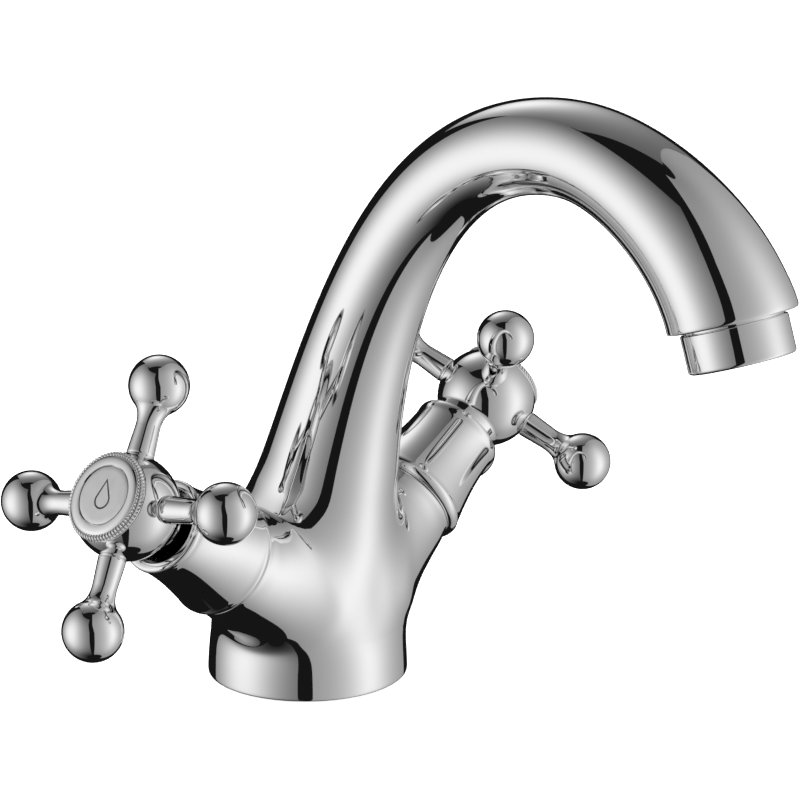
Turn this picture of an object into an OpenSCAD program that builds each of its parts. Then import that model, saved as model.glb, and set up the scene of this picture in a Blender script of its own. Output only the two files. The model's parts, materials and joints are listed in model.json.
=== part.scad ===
// Basin mixer tap: a brass casting with a swan-neck spout and two slanted valves with cross handles.
// Millimetres. +Z is up, the origin is the middle of the foot on the deck, the spout points to -Y.
// The left side, -X, is the left hand of a person who faces the spout from -Y.

/* [Foot and trunk] */
// Diameter of the round foot at the deck
foot_d = 50.6; // [47:0.2:56]
// Height at which the foot has its waist and the trunk begins
foot_h = 10; // [8:0.5:12]
// Diameter of the waist above the foot
waist_d = 48.6; // [46:0.2:52]
// Rounding of the foot's lower edge
foot_edge = 0.5; // [0.3:0.1:1]

/* [Neck and spout] */
// Height of the neck's lower end, between the valves
neck_z = 36; // [34:0.5:38]
// Distance of the neck's lower end and of the valves in front of the foot's centre
neck_forward = 3.5; // [2:0.25:5]
// Diameter of the neck at its lower end
neck_d = 40.2; // [38:0.2:42]
// Lean of the neck's lower end towards the front
neck_lean = 12.8; // [9:0.2:16]
// Distance from the foot's centre to the top of the arch
arch_reach = 82; // [74:1:90]
// Height of the spout's centre line at the top of the arch
arch_z = 145; // [135:1:160]
// Diameter of the spout at the top of the arch
arch_d = 22.8; // [21:0.2:26]
// Distance from the foot's centre to the middle of the outlet
outlet_reach = 129.7; // [122:0.1:140]
// Height of the spout's end face above the deck
outlet_z = 112.1; // [106:0.1:120]
// Tilt of the outlet's axis from the vertical
outlet_tilt = 18; // [12:0.5:24]
// Diameter of the spout at its end
outlet_d = 30.1; // [29:0.1:32]
// Rounding of the spout's end
outlet_edge = 0.7; // [0.4:0.1:1]
// Diameter of the waterway through the neck and the spout
water_d = 14; // [11:0.5:15]

/* [Valve seats] */
// Slant of each valve's axis above the horizontal
valve_tilt = 32.2; // [30:0.2:34]
// Distance from the middle plane to the centre of a valve seat
seat_out = 33.1; // [32:0.2:35]
// Height of the centre of a valve seat
seat_z = 38; // [36.5:0.25:40]
// Diameter of the casting's arm at the valve seat
seat_d = 27.4; // [27:0.1:28.2]
// Diameter of the casting's arm where it leaves the trunk
arm_root_d = 34; // [33:0.5:37]
// Length of the tapered arm below the valve seat
arm_len = 24.8; // [23:0.2:27]
// Depth of the valve chamber below its seat
chamber_depth = 24; // [23.5:0.25:25]
// Diameter of the water gallery around the headwork's windows
gallery_d = 22; // [21:0.25:23]

/* [Fixings under the foot] */
// Diameter of the fixing stud's hole, the core of an M8 thread
stud_d = 6.8; // [6.6:0.1:7]
// Depth of the fixing stud's hole
stud_depth = 18; // [14:1:20]
// Distance of the stud's hole behind the foot's centre
stud_back = 10; // [9:0.5:13]
// Diameter of a hose inlet, the core of an M10 fine thread
inlet_d = 9; // [8.8:0.1:9.2]
// Length of the threaded part of a hose inlet
inlet_depth = 12; // [10:0.5:14]
// Distance of a hose inlet from the middle plane
inlet_out = 9; // [8:0.25:10]
// Diameter of the drilled water passages
port_d = 7.6; // [6.5:0.1:8]
// Thickness of the rubber ring under the foot
base_seal_d = 2; // [1.6:0.1:2.4]
// Width of metal between the foot's edge and the rubber ring's middle
base_seal_inset = 3.5; // [3:0.25:5]

/* [Headwork] */
// Diameter of the headwork's lower body
body_d = 18.2; // [18:0.1:18.4]
// Length of the headwork's thread below the seat
thread_len = 9; // [8:0.25:9.5]
// Thickness of the headwork's round flange
flange_t = 1.5; // [1.2:0.1:2]
// Diameter of the headwork's round flange
flange_d = 23.4; // [23:0.1:23.6]
// Width of the headwork's hexagon across its flats
hex_af = 20; // [19:0.1:20.2]
// Height of the headwork's hexagon
hex_h = 6; // [5:0.25:6.5]
// Diameter of the threaded collar that holds the shroud
collar_d = 18; // [17:0.1:18.2]
// Length of the threaded collar
collar_len = 6.5; // [6:0.1:6.8]
// Diameter of the headwork's neck above the collar
gland_d = 13.6; // [12.6:0.2:14.4]
// Length of the headwork's neck above the collar
gland_len = 4; // [3.6:0.1:4.4]
// Diameter of the spindle's stem
stem_d = 9; // [8.6:0.1:9.2]
// Diameter of the space that holds the ceramic discs
disc_space_d = 15.2; // [15:0.1:15.4]
// Thickness of a ceramic disc
disc_t = 3; // [2.6:0.1:3.2]
// Thickness of the spindle's foot
spindle_foot_t = 2.4; // [2:0.1:2.8]
// Thickness of the slip washer
slip_t = 0.5; // [0.4:0.1:0.8]
// Thickness of the seat seal
seat_seal_t = 3; // [2.8:0.1:3.4]
// Diameter of the section of a spindle ring
ring_d = 1.4; // [1.2:0.1:1.5]
// Diameter of the section of the ring under the flange
flange_ring_d = 1.9; // [1.6:0.1:2]

/* [Shroud] */
// Length of the bell-shaped shroud
shroud_len = 25.5; // [25:0.1:26]
// Diameter of the lip at the shroud's foot
shroud_lip_d = 29.2; // [28.8:0.1:30]
// Diameter of the shroud just above its lip
shroud_bell_d = 28.5; // [28:0.1:28.7]
// Diameter of the shroud's waist
shroud_waist_d = 22.1; // [21.4:0.1:22.4]
// Diameter of the shroud's upper rim
shroud_rim_d = 22.9; // [22.6:0.1:24]
// Diameter of the shroud's open mouth around the handle's neck
shroud_mouth_d = 19.2; // [19:0.1:19.6]

/* [Handle] */
// Distance from the valve seat to the centre of the handle's hub
hub_out = 38.7; // [38:0.1:41]
// Diameter of the ball-shaped hub
hub_d = 25.8; // [25.4:0.1:27]
// Diameter of the handle's neck
hub_neck_d = 17.2; // [16.4:0.1:17.6]
// Distance from the hub's centre to the seat of the cap
cap_seat = 6.6; // [6.4:0.1:6.8]
// Distance from the hub's centre to the centre of a ball
ball_out = 30.6; // [29:0.2:33]
// Diameter of a ball
ball_d = 14.8; // [13:0.2:16]
// Diameter of an arm at its root
arm_d = 6.4; // [6:0.1:6.8]
// Diameter of an arm next to its ball
arm_tip_d = 5.4; // [5:0.1:5.8]
// Diameter of the spigot that screws an arm into the hub
spigot_d = 4; // [3.6:0.1:4.4]
// Length of that spigot
spigot_len = 5; // [4.5:0.1:5.5]
// Turn of the left handle about its axis at rest
left_turn = 8.8; // [0:0.2:45]
// Turn of the right handle about its axis at rest
right_turn = 34.8; // [0:0.2:45]
// Number of arms on a handle
arm_count = 4; // [3:1:5]

/* [Cap] */
// Diameter of the cap's knurled bezel
bezel_d = 22; // [21.6:0.1:22]
// Distance from the hub's cap seat to the cap's face
bezel_h = 2.2; // [2:0.1:2.6]
// Diameter of the satin button in the bezel
button_d = 14.6; // [13.6:0.1:15]
// Diameter of the plug that holds the cap in the hub
plug_d = 16; // [15:0.1:16.8]
// Number of knurls around the bezel
knurl_count = 60; // [40:2:72]

/* [Spindle top] */
// Diameter of the spindle's splined top
spline_d = 8; // [7.6:0.1:8.2]
// Number of splines
spline_count = 20; // [16:1:24]
// Diameter of the handle screw
screw_d = 4; // [3.6:0.1:4.2]
// Length of the handle screw under its head
screw_len = 13; // [11:0.5:15]
// Diameter of the handle screw's head
screw_head_d = 7; // [6.6:0.1:7.4]

/* [Aerator] */
// Diameter of the aerator sleeve's visible collar
sleeve_d = 24.6; // [24.4:0.1:27]
// Height of that collar
sleeve_h = 9.6; // [8:0.2:11]
// Diameter of the threaded hole in the spout's end
aerator_bore_d = 23.2; // [22.8:0.1:23.4]
// Depth of that hole
aerator_bore_depth = 9; // [8:0.25:10]
// Diameter of the flow insert
insert_d = 20.6; // [20:0.1:20.8]
// Thickness of the aerator's rubber washer
washer_t = 2; // [1.5:0.1:2.4]

/* [Fits] */
// Gap on the radius between a turning stem and its bore
running_fit = 0.05; // [0.03:0.01:0.08]
// Gap on the radius between a screw and its threaded hole
thread_fit = 0.1; // [0.05:0.01:0.15]
// Gap between faces that press on each other
face_fit = 0.02; // [0.01:0.01:0.03]
// Gap on the radius between loose pieces
slack = 0.1; // [0.06:0.01:0.12]
// Gap on the radius between the headwork's lower body and the valve bore
body_gap = 0.4; // [0.3:0.05:0.5]

/* [Hidden] */
$fn = 64;
foot_r = foot_d / 2;
waist_r = waist_d / 2;
valve_y = -neck_forward;
// The threaded valve bore, the core of a half-inch pipe thread
valve_bore_d = body_d + 2 * body_gap;

// The spout's centre line is three cubic curves in the middle plane.
// Each of their points holds the distance along Y, the height and the radius there.
neck_start = [-neck_forward, neck_z, neck_d / 2];
arch_top = [-arch_reach, arch_z, arch_d / 2];
spout_end = [-outlet_reach, outlet_z, outlet_d / 2];
lean = [-sin(neck_lean), cos(neck_lean), 0];
drop = [-sin(outlet_tilt), -cos(outlet_tilt), 0];
trunk_curve = [
    [0, foot_h, waist_r],
    [0, foot_h + 9, waist_r - 0.2],
    neck_start - 10 * lean + [0, 0, 1.7],
    neck_start
];
neck_curve = [
    neck_start,
    neck_start + 45 * lean - [0, 0, 8.2],
    arch_top + [53, 0, -1.1],
    arch_top
];
arch_curve = [
    arch_top,
    arch_top + [-19.3, 0, 0.4],
    spout_end - 16.7 * drop - [0, 0, 0.8],
    spout_end
];

// Places along a valve's axis, counted outwards from its seat
body_end = -(chamber_depth - 1.1);
seal_top = -chamber_depth + face_fit + seat_seal_t;
disc_low = seal_top + face_fit;
disc_mid = disc_low + disc_t + face_fit;
spindle_low = disc_mid + disc_t + face_fit;
slip_low = spindle_low + spindle_foot_t + face_fit;
disc_space_top = slip_low + slip_t + face_fit;
hex_low = flange_t;
collar_low = hex_low + hex_h;
collar_top = collar_low + collar_len;
gland_top = collar_top + gland_len;
clip_t = 1;
clip_low = gland_top + running_fit;
web_low = collar_low + 1.4;
web_top = collar_top - 0.6;
window_low = disc_mid + 0.4;
window_high = slip_low;
gallery_low = window_low - 1.6;
gallery_high = window_high + 1.4;

// Length of the axis from a valve seat down to the point above its hose inlet
port_run = (seat_out - inlet_out) / cos(valve_tilt);

// Places along the same axis, counted outwards from the hub's centre
socket_top = -5;
screw_seat = -1.2;
recess_floor = 4;
spindle_top = hub_out + socket_top - face_fit;
stem_top = clip_low + clip_t + 0.8;
hub_neck_end = stem_top + 1.45;
spigot_root = hub_d / 2 - 1.4;
screw_head_t = 2.8;

stem_r = stem_d / 2;
bore_r = stem_r + running_fit;
ring_depth = ring_d + face_fit;
ring_z = [collar_low - 2.5, collar_low + 2.5];
base_seal_r = foot_r - base_seal_inset;

CHROME = [0.86, 0.87, 0.88];
SATIN = [0.72, 0.72, 0.73];
BRASS = [0.80, 0.64, 0.30];
CERAMIC = [0.93, 0.92, 0.88];
RUBBER = [0.12, 0.12, 0.12];
PLASTIC = [0.88, 0.88, 0.86];
STEEL = [0.62, 0.63, 0.65];

function bezier(p, t) =
    pow(1 - t, 3) * p[0] + 3 * pow(1 - t, 2) * t * p[1] + 3 * (1 - t) * t * t * p[2] + pow(t, 3) * p[3];
function bezier_way(p, t) =
    pow(1 - t, 2) * (p[1] - p[0]) + 2 * (1 - t) * t * (p[2] - p[1]) + t * t * (p[3] - p[2]);

// One ring of points around the centre line: the place holds Y, Z and radius, the way Y and Z
function ring(place, way, grow, sides) =
    let (n = [way[0], way[1]] / norm([way[0], way[1]]), r = place[2] + grow)
    [for (i = [0:sides - 1]) let (a = 360 * i / sides)
        [r * cos(a), place[0] - r * sin(a) * n[1], place[1] + r * sin(a) * n[0]]];

// A solid through a list of rings
module sweep(rings, sides) {
    last = (len(rings) - 1) * sides;
    points = [for (one = rings) for (p = one) p];
    walls = [for (k = [0:len(rings) - 2]) for (i = [0:sides - 1])
        let (a = k * sides + i, b = k * sides + (i + 1) % sides)
        for (face = [[a, b, b + sides], [a, b + sides, a + sides]]) face];
    bottom = [for (i = [0:sides - 1]) sides - 1 - i];
    top = [for (i = [0:sides - 1]) last + i];
    polyhedron(points, concat(walls, [bottom, top]), convexity = 6);
}

// Places a piece on a valve's axis, with its zero on the valve seat; side is -1 or 1
module on_valve(side) {
    translate([side * seat_out, valve_y, seat_z]) rotate([0, side * (90 - valve_tilt), 0]) children();
}

// Places a piece of a handle, with its zero at the hub's centre
module on_hub(side) {
    turn = side < 0 ? left_turn : right_turn;
    on_valve(side) translate([0, 0, hub_out]) rotate([0, 0, turn]) children();
}

// Places a piece on the outlet's axis, with its zero on the spout's end face
module on_outlet() {
    translate([0, -outlet_reach, outlet_z]) rotate([180 - outlet_tilt, 0, 0]) children();
}

// A cylinder between two heights
module drum(r, low, high) {
    translate([0, 0, low]) cylinder(r = r, h = high - low);
}

// A tube between two heights
module tube(outer, inner, low, high) {
    difference() {
        drum(outer, low, high);
        drum(inner, low - 1, high + 1);
    }
}

// A rubber ring of round section
module o_ring(middle_r, section_d, z) {
    translate([0, 0, z]) rotate_extrude() translate([middle_r, 0]) circle(d = section_d, $fn = 32);
}

// A wedge of a tube, centred on the X axis
module wedge(outer, inner, angle, low, high) {
    rotate([0, 0, -angle / 2]) translate([0, 0, low])
        rotate_extrude(angle = angle) translate([inner, 0]) square([outer - inner, high - low]);
}

// Body casting

// The outside of foot, trunk, neck and spout
module spout_skin() {
    sides = 60;
    foot = [ring([0, 0, foot_r - foot_edge], [0, 1], 0, sides), ring([0, foot_edge, foot_r], [0, 1], 0, sides)];
    trunk = [for (i = [0:7]) ring(bezier(trunk_curve, i / 8), bezier_way(trunk_curve, i / 8), 0, sides)];
    neck = [for (i = [0:19]) ring(bezier(neck_curve, i / 20), bezier_way(neck_curve, i / 20), 0, sides)];
    arch = [for (i = [0:11]) ring(bezier(arch_curve, i / 12), bezier_way(arch_curve, i / 12), 0, sides)];
    lip = [
        ring(spout_end - outlet_edge * drop, drop, 0, sides),
        ring(spout_end - 0.3 * outlet_edge * drop, drop, -0.3 * outlet_edge, sides),
        ring(spout_end, drop, -outlet_edge, sides)
    ];
    sweep(concat(foot, trunk, neck, arch, lip), sides);
}

// The water's way from the valves to the outlet
module waterway() {
    sides = 24;
    thin = function (place) [place[0], place[1], water_d / 2];
    neck = [for (i = [0:13]) ring(thin(bezier(neck_curve, i / 14)), bezier_way(neck_curve, i / 14), 0, sides)];
    arch = [for (i = [0:9]) ring(thin(bezier(arch_curve, i / 10)), bezier_way(arch_curve, i / 10), 0, sides)];
    mouth = [ring(thin(spout_end + drop), drop, 0, sides)];
    sweep(concat(neck, arch, mouth), sides);
}

// One slanted arm, from its valve seat down into the trunk
module valve_arm() {
    rotate_extrude() polygon([
        [0, -arm_len],
        [arm_root_d / 2, -arm_len],
        [seat_d / 2, -0.6],
        [seat_d / 2 - 0.4, 0],
        [0, 0]
    ]);
}

// The bored space of one valve, with the inlet's port below it
module valve_space() {
    drum(valve_bore_d / 2, -chamber_depth, 1);
    drum(gallery_d / 2, gallery_low, gallery_high);
    drum(valve_bore_d / 2 + flange_ring_d - 0.2, -flange_ring_d - face_fit, 1);
    drum(port_d / 2, -port_run, 0);
}

// The drilled passage from one valve's gallery into the neck
module mixing_port(side) {
    middle = (gallery_low + gallery_high) / 2;
    from = [seat_out + middle * cos(valve_tilt), seat_z + middle * sin(valve_tilt)];
    rise = neck_z + 6 - from[1];
    translate([side * from[0], valve_y, from[1]]) rotate([0, -side * atan2(from[0], rise), 0])
        cylinder(d = port_d - 1, h = norm([from[0], rise]));
}

module body_casting() {
    port_z = seat_z - port_run * sin(valve_tilt);
    color(CHROME) difference() {
        union() {
            spout_skin();
            for (side = [-1, 1]) on_valve(side) valve_arm();
        }
        waterway();
        on_outlet() drum(aerator_bore_d / 2, -aerator_bore_depth, 1);
        for (side = [-1, 1]) {
            on_valve(side) valve_space();
            mixing_port(side);
            translate([side * inlet_out, valve_y, 0]) {
                drum(inlet_d / 2, -1, inlet_depth);
                drum(port_d / 2 + 0.4, -1, port_z + 1);
            }
        }
        translate([0, stud_back, 0]) drum(stud_d / 2, -1, stud_depth);
        tube(base_seal_r + base_seal_d / 2 + slack, base_seal_r - base_seal_d / 2 - slack,
            -1, base_seal_d + face_fit);
    }
}

module base_seal() {
    color(RUBBER) o_ring(base_seal_r, base_seal_d, base_seal_d / 2);
}

// Aerator

// The collar under the spout's end, with its thread inside the spout
module aerator_sleeve() {
    color(CHROME) on_outlet() difference() {
        union() {
            rotate_extrude() polygon([
                [0, face_fit], [sleeve_d / 2 - 0.6, face_fit], [sleeve_d / 2, 0.6],
                [sleeve_d / 2, sleeve_h - 0.8], [sleeve_d / 2 - 0.8, sleeve_h], [0, sleeve_h]
            ]);
            drum(aerator_bore_d / 2 - thread_fit, -(aerator_bore_depth - washer_t) + 2 * face_fit, 1);
        }
        drum(insert_d / 2 + slack, -aerator_bore_depth, sleeve_h - 1.2);
        drum(insert_d / 2 - 0.8, 0, sleeve_h + 1);
    }
}

// Rows of round holes around the middle of a disc
module jets(rows, pitch, hole_r, low, high) {
    drum(hole_r, low, high);
    for (row = [1:rows]) for (i = [0:6 * row - 1]) rotate([0, 0, 60 * i / row])
        translate([row * pitch, 0, 0]) drum(hole_r, low, high);
}

module aerator_insert() {
    color(PLASTIC) on_outlet() difference() {
        drum(insert_d / 2, -4.6, sleeve_h - 1.2 - face_fit);
        jets(2, 3.6, 1.25, -5, sleeve_h);
    }
}

module aerator_mesh() {
    color(STEEL) on_outlet() difference() {
        drum(insert_d / 2, -5, -4.6 - face_fit);
        jets(3, 2.6, 0.8, -6, 0);
    }
}

module aerator_washer() {
    color(RUBBER) on_outlet() tube(aerator_bore_d / 2 - 2 * thread_fit, water_d / 2 + 0.6,
        -aerator_bore_depth + face_fit, -(aerator_bore_depth - washer_t) + face_fit);
}

// Valve pieces, each in the frame of its valve seat

module headwork() {
    color(BRASS) difference() {
        union() {
            drum(body_d / 2, body_end, 0);
            drum(valve_bore_d / 2 - thread_fit, -thread_len, -flange_ring_d - 0.2);
            drum(flange_d / 2, face_fit, flange_t);
            drum(body_d / 2, 0, flange_t);
            cylinder(d = hex_af / cos(30), h = collar_low, $fn = 6);
            drum(collar_d / 2, collar_low, collar_top);
            drum(gland_d / 2, collar_top, gland_top);
        }
        drum(disc_space_d / 2, body_end - 1, disc_space_top);
        drum(bore_r, 0 - chamber_depth, gland_top + 1);
        for (a = [0, 180]) rotate([0, 0, a]) {
            translate([0, -1.3, body_end - 1]) cube([disc_space_d / 2 + 0.8, 2.6, disc_mid - body_end + 1]);
            translate([-4.5, 0, window_low]) cube([9, body_d, window_high - window_low]);
        }
        // Relief that holds the ring under the flange
        tube(body_d, body_d / 2 - 0.2, -flange_ring_d - 0.2, 0);
    }
}

module seat_seal() {
    color(RUBBER) tube(disc_space_d / 2 - slack, port_d / 2 + 0.4, -chamber_depth + face_fit, seal_top);
}

module headwork_ring() {
    inner = body_d / 2 - 0.2;
    color(RUBBER) o_ring(inner + flange_ring_d / 2 + face_fit, flange_ring_d - face_fit, -flange_ring_d / 2);
}

module fixed_disc() {
    color(CERAMIC) difference() {
        union() {
            drum(disc_space_d / 2 - slack, disc_low, disc_mid - face_fit);
            for (a = [0, 180]) rotate([0, 0, a]) translate([0, -1.2, disc_low])
                cube([disc_space_d / 2 + 0.7, 2.4, disc_t]);
        }
        for (a = [0, 180]) rotate([0, 0, a]) wedge(5.8, 1.6, 80, disc_low - 1, disc_mid + 1);
    }
}

module moving_disc() {
    color(CERAMIC) difference() {
        drum(disc_space_d / 2 - 3 * slack, disc_mid, spindle_low - face_fit);
        for (a = [90, 270]) rotate([0, 0, a]) wedge(5.8, 1.6, 80, disc_mid - 1, spindle_low + 1);
        for (a = [0, 180]) rotate([0, 0, a]) translate([3.4, -1.3, spindle_low - 1.4]) cube([6, 2.6, 2]);
    }
}

module slip_washer() {
    color(PLASTIC) tube(disc_space_d / 2 - slack, stem_r + slack, slip_low, disc_space_top - face_fit);
}

module spindle() {
    color(BRASS) difference() {
        union() {
            drum(disc_space_d / 2 - 3 * slack, spindle_low, slip_low - face_fit);
            for (a = [0, 180]) rotate([0, 0, a]) translate([3.6, -1.1, spindle_low - 1.2])
                cube([3, 2.2, 1.4]);
            drum(stem_r, spindle_low, stem_top);
            translate([0, 0, stem_top]) linear_extrude(spindle_top - stem_top) difference() {
                circle(d = spline_d);
                for (i = [0:spline_count - 1]) rotate(360 * i / spline_count)
                    translate([spline_d / 2 + 0.1, 0]) circle(r = 0.45, $fn = 16);
            }
        }
        for (z = ring_z) tube(stem_d, stem_r - ring_depth, z - ring_d / 2 - slack, z + ring_d / 2 + slack);
        tube(stem_d, stem_r - 0.7, clip_low - slack, clip_low + clip_t + slack);
        drum(screw_d / 2 + thread_fit, spindle_top - screw_len, spindle_top + 1);
        // Flow slots in the foot, above the ports of the moving disc
        for (a = [90, 270]) rotate([0, 0, a]) wedge(disc_space_d, 5, 70, spindle_low - 1, slip_low - 0.6);
    }
}

module spindle_rings() {
    color(RUBBER) for (z = ring_z) o_ring(bore_r - ring_depth / 2 - face_fit, ring_d - face_fit, z);
}

module clip() {
    color(STEEL) difference() {
        tube(gland_d / 2 - 0.6, stem_r - 0.7 + face_fit, clip_low, clip_low + clip_t);
        translate([0, -1.8, clip_low - 1]) cube([gland_d, 3.6, clip_t + 2]);
    }
}

// The bell-shaped shroud, screwed onto the headwork's collar
module shroud() {
    rim_low = shroud_len - 3;
    bell = [
        [shroud_bell_d / 2, 3.4], [shroud_bell_d / 2 - 0.3, 9.5],
        [shroud_waist_d / 2 + 0.2, 14], [shroud_waist_d / 2, rim_low]
    ];
    color(CHROME) difference() {
        rotate_extrude() polygon(concat(
            [[0, face_fit], [shroud_lip_d / 2 - 0.4, face_fit]],
            [[shroud_lip_d / 2, 1.4], [shroud_lip_d / 2, 2.4]],
            [for (i = [0:10]) bezier(bell, i / 10)],
            [[shroud_rim_d / 2 - 0.3, shroud_len - 2.5], [shroud_rim_d / 2, shroud_len - 1.9]],
            [[shroud_rim_d / 2, shroud_len - 1.1], [shroud_rim_d / 2 - 0.5, shroud_len]],
            [[0, shroud_len]]
        ));
        drum(flange_d / 2 + 3 * slack, -1, collar_low + 0.4);
        translate([0, 0, collar_low + 0.4]) cylinder(r1 = flange_d / 2 + 3 * slack,
            r2 = collar_d / 2 + thread_fit, h = web_low - collar_low - 0.4);
        drum(collar_d / 2 + thread_fit, 0, web_top + 1);
        drum(shroud_mouth_d / 2, web_top, shroud_len + 1);
    }
}

// Handle pieces, each in the frame of its hub's centre

module hub() {
    color(CHROME) difference() {
        union() {
            sphere(d = hub_d, $fn = 96);
            drum(hub_neck_d / 2, hub_neck_end - hub_out, 0);
        }
        drum(hub_d, cap_seat, hub_d);
        drum(plug_d / 2 + slack, recess_floor, hub_d);
        drum(screw_head_d / 2 + 3 * slack, screw_seat, hub_d);
        drum(screw_d / 2 + 2 * slack, -hub_out, hub_d);
        drum(spline_d / 2 + running_fit, -hub_out, socket_top);
        for (i = [0:arm_count - 1]) rotate([0, 0, 360 * i / arm_count]) rotate([0, 90, 0]) {
            drum(spigot_d / 2 + face_fit, spigot_root - spigot_len - slack, hub_d);
            drum(arm_d / 2 + 0.3, spigot_root, hub_d);
        }
    }
}

// One turned arm with its ball, lying along X
module cross_arm() {
    neck_x = ball_out - ball_d / 2;
    ball_r = ball_d / 2;
    meet = acos(arm_tip_d / 2 / ball_r + 0.12);
    flare = [
        [neck_x - 3.2, arm_tip_d / 2], [neck_x - 0.9, arm_tip_d / 2 + 0.1],
        [neck_x + 0.1, arm_tip_d / 2 + 0.7], [ball_out - ball_r * sin(meet), ball_r * cos(meet)]
    ];
    rotate([0, 90, 0]) rotate([0, 0, 90]) rotate_extrude() polygon(concat(
        [[0, spigot_root - spigot_len], [spigot_d / 2, spigot_root - spigot_len], [spigot_d / 2, spigot_root]],
        [[arm_d / 2 - 0.4, spigot_root], [arm_d / 2, spigot_root + 0.4]],
        [for (i = [0:6]) let (p = bezier(flare, i / 6)) [p[1], p[0]]],
        [for (i = [1:11]) let (a = -meet + i * (90 + meet) / 12)
            [ball_r * cos(a), ball_out + ball_r * sin(a)]],
        [[0, ball_out + ball_r]]
    ));
}

module cross_arms() {
    color(CHROME) for (i = [0:arm_count - 1]) rotate([0, 0, 360 * i / arm_count]) cross_arm();
}

module handle_screw() {
    color(STEEL) difference() {
        union() {
            drum(screw_d / 2, screw_seat - screw_len + slack, screw_seat + 1);
            drum(screw_head_d / 2, screw_seat + face_fit, screw_seat + screw_head_t);
        }
        translate([0, 0, screw_seat + 1]) cylinder(d = 3.4, h = 4, $fn = 6);
    }
}

// The cap: a knurled bezel whose plug sits in the hub
module cap_bezel() {
    face = cap_seat + bezel_h;
    color(CHROME) difference() {
        union() {
            drum(plug_d / 2, recess_floor + face_fit, cap_seat + 1);
            translate([0, 0, cap_seat + face_fit]) linear_extrude(1.2) difference() {
                circle(d = bezel_d);
                for (i = [0:knurl_count - 1]) rotate(360 * i / knurl_count)
                    translate([bezel_d / 2 + 0.05, 0]) circle(r = 0.32, $fn = 16);
            }
            rotate_extrude() polygon([
                [0, cap_seat + 0.5], [bezel_d / 2 - 0.5, cap_seat + 0.5], [bezel_d / 2 - 0.8, cap_seat + 1.5],
                [bezel_d / 2 - 1.1, face - 0.3], [bezel_d / 2 - 2.4, face], [0, face]
            ]);
        }
        drum(button_d / 2 + slack, face - 1, face + 1);
        drum(screw_head_d / 2 + 3 * slack, recess_floor - 1, face - 2);
    }
}

module cap_button() {
    face = cap_seat + bezel_h;
    color(SATIN) difference() {
        drum(button_d / 2, face - 1 + face_fit, face - 0.1);
        // A plain water drop is engraved where a word would be
        translate([0, 0, face - 0.4]) {
            translate([-1.2, 0, 0]) cylinder(r = 2.2, h = 1);
            linear_extrude(1) polygon([[-0.32, 2.02], [4, 0], [-0.32, -2.02]]);
        }
    }
}

module left_headwork() { on_valve(-1) headwork(); }
module left_seat_seal() { on_valve(-1) seat_seal(); }
module left_headwork_ring() { on_valve(-1) headwork_ring(); }
module left_fixed_disc() { on_valve(-1) fixed_disc(); }
module left_moving_disc() { on_valve(-1) moving_disc(); }
module left_slip_washer() { on_valve(-1) slip_washer(); }
module left_spindle() { on_valve(-1) spindle(); }
module left_spindle_rings() { on_valve(-1) spindle_rings(); }
module left_clip() { on_valve(-1) clip(); }
module left_shroud() { on_valve(-1) shroud(); }
module left_hub() { on_hub(-1) hub(); }
module left_cross_arms() { on_hub(-1) cross_arms(); }
module left_handle_screw() { on_hub(-1) handle_screw(); }
module left_cap_bezel() { on_hub(-1) cap_bezel(); }
module left_cap_button() { on_hub(-1) cap_button(); }
module right_headwork() { on_valve(1) headwork(); }
module right_seat_seal() { on_valve(1) seat_seal(); }
module right_headwork_ring() { on_valve(1) headwork_ring(); }
module right_fixed_disc() { on_valve(1) fixed_disc(); }
module right_moving_disc() { on_valve(1) moving_disc(); }
module right_slip_washer() { on_valve(1) slip_washer(); }
module right_spindle() { on_valve(1) spindle(); }
module right_spindle_rings() { on_valve(1) spindle_rings(); }
module right_clip() { on_valve(1) clip(); }
module right_shroud() { on_valve(1) shroud(); }
module right_hub() { on_hub(1) hub(); }
module right_cross_arms() { on_hub(1) cross_arms(); }
module right_handle_screw() { on_hub(1) handle_screw(); }
module right_cap_bezel() { on_hub(1) cap_bezel(); }
module right_cap_button() { on_hub(1) cap_button(); }

body_casting();
base_seal();
aerator_sleeve();
aerator_insert();
aerator_mesh();
aerator_washer();
left_headwork();
left_seat_seal();
left_headwork_ring();
left_fixed_disc();
left_moving_disc();
left_slip_washer();
left_spindle();
left_spindle_rings();
left_clip();
left_shroud();
left_hub();
left_cross_arms();
left_handle_screw();
left_cap_bezel();
left_cap_button();
right_headwork();
right_seat_seal();
right_headwork_ring();
right_fixed_disc();
right_moving_disc();
right_slip_washer();
right_spindle();
right_spindle_rings();
right_clip();
right_shroud();
right_hub();
right_cross_arms();
right_handle_screw();
right_cap_bezel();
right_cap_button();
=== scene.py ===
"""Looks of a basin mixer tap: polished chrome skin, turned handles and a light tent around them."""

import json
import math

import bmesh
import bpy
from bpy.props import FloatProperty, FloatVectorProperty, IntProperty, PointerProperty
from mathutils import Matrix, Vector


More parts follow.
